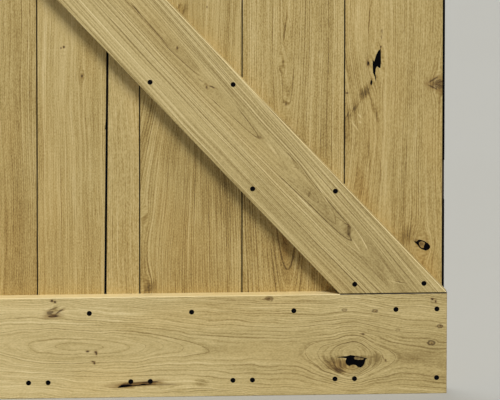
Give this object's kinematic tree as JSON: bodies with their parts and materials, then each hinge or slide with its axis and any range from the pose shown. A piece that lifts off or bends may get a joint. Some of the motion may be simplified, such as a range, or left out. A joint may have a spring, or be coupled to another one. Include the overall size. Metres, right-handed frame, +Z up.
{
  "type": "ledged and braced barn door",
  "caption": "Oak barn door leaf of tongue-and-groove boards on ledges and diagonal braces, with black nails and black-filled knots.",
  "frame": {"origin": "middle of the leaf's bottom edge, half way through its depth", "axes": "+Z up, +X to the right along the ledges, +Y from the ledges towards the boards' plain back"},
  "size_m": [0.942, 0.044, 2.15],
  "materials": {
    "oak_boards": "matt, sawn and sanded, bare or lightly oiled",
    "oak_ledges": "matt, sawn and sanded, bare or lightly oiled",
    "oak_braces": "matt, sawn and sanded, bare or lightly oiled",
    "black_nails": "satin",
    "black_filler": "matt"
  },
  "bodies": {
    "root": {"board_1": "oak_boards", "board_2": "oak_boards", "board_3_wide_strip": "oak_boards", "board_3_narrow_strip": "oak_boards", "board_4": "oak_boards", "board_5": "oak_boards", "board_6": "oak_boards", "bottom_ledge": "oak_ledges", "middle_ledge": "oak_ledges", "top_ledge": "oak_ledges", "lower_brace": "oak_braces", "upper_brace": "oak_braces", "bottom_ledge_nails": "black_nails", "middle_ledge_nails": "black_nails", "top_ledge_nails": "black_nails", "lower_brace_nails": "black_nails", "upper_brace_nails": "black_nails", "board_6_knot_filler": "black_filler", "bottom_ledge_knot_filler": "black_filler", "wide_joint_bead": "black_filler", "edge_bead": "black_filler"}
  },
  "joints": []
}
